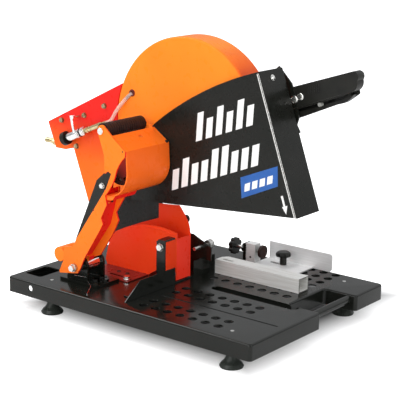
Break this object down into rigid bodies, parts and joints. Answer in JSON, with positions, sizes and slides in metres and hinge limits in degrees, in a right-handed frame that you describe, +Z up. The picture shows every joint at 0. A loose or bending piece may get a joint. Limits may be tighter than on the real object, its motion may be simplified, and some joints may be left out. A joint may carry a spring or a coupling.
{
  "type": "bench cut-off saw",
  "caption": "Bench cut-off saw: perforated steel tray on rubber feet, sprung swinging head with belt-driven diamond blade, level-riding blade cover, guard, guide bar and side fence.",
  "frame": {"origin": "on the floor, under the middle of the bounding box", "axes": "+X towards the operator's end, +Y across to the handle side, +Z up"},
  "size_m": [0.7998, 0.504, 0.622],
  "materials": {
    "orange_paint": "gloss enamel",
    "black_paint": "gloss enamel",
    "black_plastic": "satin moulded",
    "white_plastic": "gloss moulded",
    "rubber": "matt",
    "bright_steel": "bright zinc or chrome plate",
    "steel": "ground",
    "aluminium": "brushed",
    "copper_winding": "lacquered winding and steel stack",
    "brass": "machined",
    "clear_hose": "translucent"
  },
  "bodies": {
    "frame": {"base_tray": "black_paint", "front_carry_bar": "black_paint", "foot_cups": "rubber", "foot_studs": "bright_steel", "rear_fence": "black_paint", "fence_stay": "black_paint", "stay_bar": "steel", "pivot_bracket": "black_paint", "pivot_shaft": "steel", "splash_shield": "orange_paint", "shield_post": "black_paint", "frame_bolts": "bright_steel", "stop_bracket": "black_paint", "stop_block": "aluminium"},
    "head": {"pivot_sleeve": "bright_steel", "pivot_bushes": "brass", "motor_housing": "orange_paint", "swing_arm": "orange_paint", "arm_brace": "black_paint", "spring_drum": "orange_paint", "counterbalance_spring": "steel", "carry_grip_bar": "bright_steel", "carry_grip": "rubber", "motor_can": "aluminium", "motor_fan_cover": "black_paint", "motor_mount_ring": "aluminium", "motor_stator": "copper_winding", "cable_gland": "black_plastic", "drive_belt": "rubber", "arbor_housing": "aluminium", "shaft_bearings": "steel", "blade_guard": "orange_paint", "rear_plate": "orange_paint", "far_cover": "black_paint", "handle_bracket": "black_paint", "handle_grip": "black_plastic", "head_screws": "bright_steel", "valve_body": "bright_steel", "valve_nuts": "bright_steel", "feed_pipe": "brass", "hose_nipple": "brass", "water_hose": "clear_hose"},
    "rotor": {"motor_rotor": "steel", "motor_pulley": "steel"},
    "spindle": {"arbor_shaft": "steel", "arbor_pulley": "steel", "blade_flanges": "steel", "arbor_nut": "steel", "diamond_blade": "steel"},
    "cover": {"blade_cover": "black_paint"},
    "trigger": {"trigger": "black_plastic"},
    "lock_button": {"lock_button": "white_plastic"},
    "water_valve": {"valve_knob": "black_plastic"},
    "guide_bar": {"guide_bar": "aluminium"},
    "side_fence": {"side_fence": "aluminium"},
    "fence_knob": {"fence_knob": "black_plastic"},
    "stop_pad": {"stop_pad": "rubber"},
    "stop_screw": {"stop_screw": "steel", "stop_wheel": "black_plastic"},
    "shield_knob": {"shield_knob": "black_plastic"}
  },
  "joints": [
    {"name": "head_swing", "type": "hinge", "parent": "frame", "child": "head", "pos_m": [-0.15393, -0.154, 0.115], "axis": [0, 1, 0], "range_deg": [0, 39], "stiffness_Nm_per_rad": 60, "springref_deg": -91.67},
    {"name": "cover_level", "type": "hinge", "parent": "head", "child": "cover", "pos_m": [-0.06294, -0.055, 0.347], "axis": [0, 1, 0], "range_deg": [-39, 0]},
    {"name": "blade_spin", "type": "hinge", "parent": "head", "child": "spindle", "pos_m": [0.02607, -0.015, 0.43], "axis": [0, 1, 0], "continuous": true},
    {"name": "motor_spin", "type": "hinge", "parent": "head", "child": "rotor", "pos_m": [-0.06294, -0.122, 0.347], "axis": [0, 1, 0], "continuous": true},
    {"name": "trigger_squeeze", "type": "hinge", "parent": "head", "child": "trigger", "pos_m": [0.37206, 0.047, 0.534], "axis": [0, 1, 0], "range_deg": [0, 2.5], "stiffness_Nm_per_rad": 2, "springref_deg": -11.46},
    {"name": "button_press", "type": "slide", "parent": "head", "child": "lock_button", "axis": [0, 1, 0], "range_m": [0, 0.003], "stiffness_N_per_m": 400, "springref_m": -0.002},
    {"name": "valve_turn", "type": "hinge", "parent": "head", "child": "water_valve", "pos_m": [-0.30994, -0.066, 0.3605], "axis": [0.9205, 0, 0.3907], "range_deg": [0, 90]},
    {"name": "guide_slide", "type": "slide", "parent": "frame", "child": "guide_bar", "axis": [0, 1, 0], "range_m": [-0.028, 0.07]},
    {"name": "fence_slide", "type": "slide", "parent": "frame", "child": "side_fence", "axis": [1, 0, 0], "range_m": [0, 0.03]},
    {"name": "fence_knob_turn", "type": "hinge", "parent": "frame", "child": "fence_knob", "pos_m": [0.11306, 0.216, 0.095], "axis": [0, 0, 1], "range_deg": [-180, 180]},
    {"name": "stop_feed", "type": "slide", "parent": "frame", "child": "stop_pad", "axis": [1, 0, 0], "range_m": [0, 0.012]},
    {"name": "stop_turn", "type": "hinge", "parent": "stop_pad", "child": "stop_screw", "pos_m": [0.02806, 0.195, 0.105], "axis": [1, 0, 0], "range_deg": [0, 2160]},
    {"name": "shield_knob_turn", "type": "hinge", "parent": "frame", "child": "shield_knob", "pos_m": [-0.01494, 0.01, 0.207], "axis": [0, 1, 0], "range_deg": [-180, 180]}
  ],
  "couplings": [
    {"joint": "cover_level", "follows": "head_swing", "ratio": -1},
    {"joint": "motor_spin", "follows": "blade_spin", "ratio": 0.92308},
    {"joint": "stop_turn", "follows": "stop_feed", "rad_per_m": 3141.6}
  ]
}
